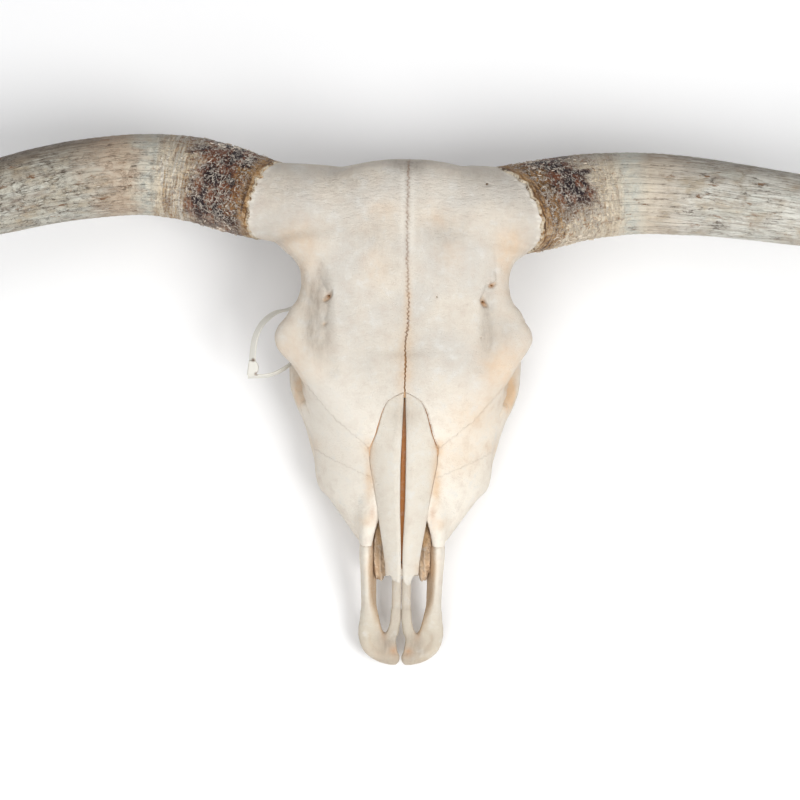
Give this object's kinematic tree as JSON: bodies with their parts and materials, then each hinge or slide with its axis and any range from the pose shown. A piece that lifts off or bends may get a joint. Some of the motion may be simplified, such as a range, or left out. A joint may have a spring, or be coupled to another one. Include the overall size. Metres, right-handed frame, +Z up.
{
  "type": "longhorn steer skull",
  "caption": "Weathered skull of a longhorn steer without its lower jaw, lying on its cheek teeth, with long upturned horns and a nylon cable tie looped through one eye socket",
  "frame": {"origin": "centre of the bounding box, at the floor the skull lies on", "axes": "+X across the horns to the animal's left, +Y from the nose to the poll, +Z up from the floor"},
  "size_m": [1.484, 0.522, 0.3548],
  "materials": {
    "bone": "dry weathered bone",
    "inner_bone": "stained porous bone",
    "horn": "weathered keratin",
    "nylon": "translucent nylon"
  },
  "bodies": {
    "root": {"frontal_right": "bone", "frontal_left": "bone", "temporal_right": "bone", "temporal_left": "bone", "zygomatic_right": "bone", "zygomatic_left": "bone", "lacrimal_right": "bone", "lacrimal_left": "bone", "maxilla_right": "bone", "maxilla_left": "bone", "nasal_right": "bone", "nasal_left": "bone", "incisive_right": "bone", "incisive_left": "bone", "occipital": "bone", "cranial_base": "bone", "turbinate_right": "inner_bone", "turbinate_left": "inner_bone", "vomer": "inner_bone", "horn_right": "horn", "horn_left": "horn", "cable_tie_strap": "nylon", "cable_tie_head": "nylon"}
  },
  "joints": []
}
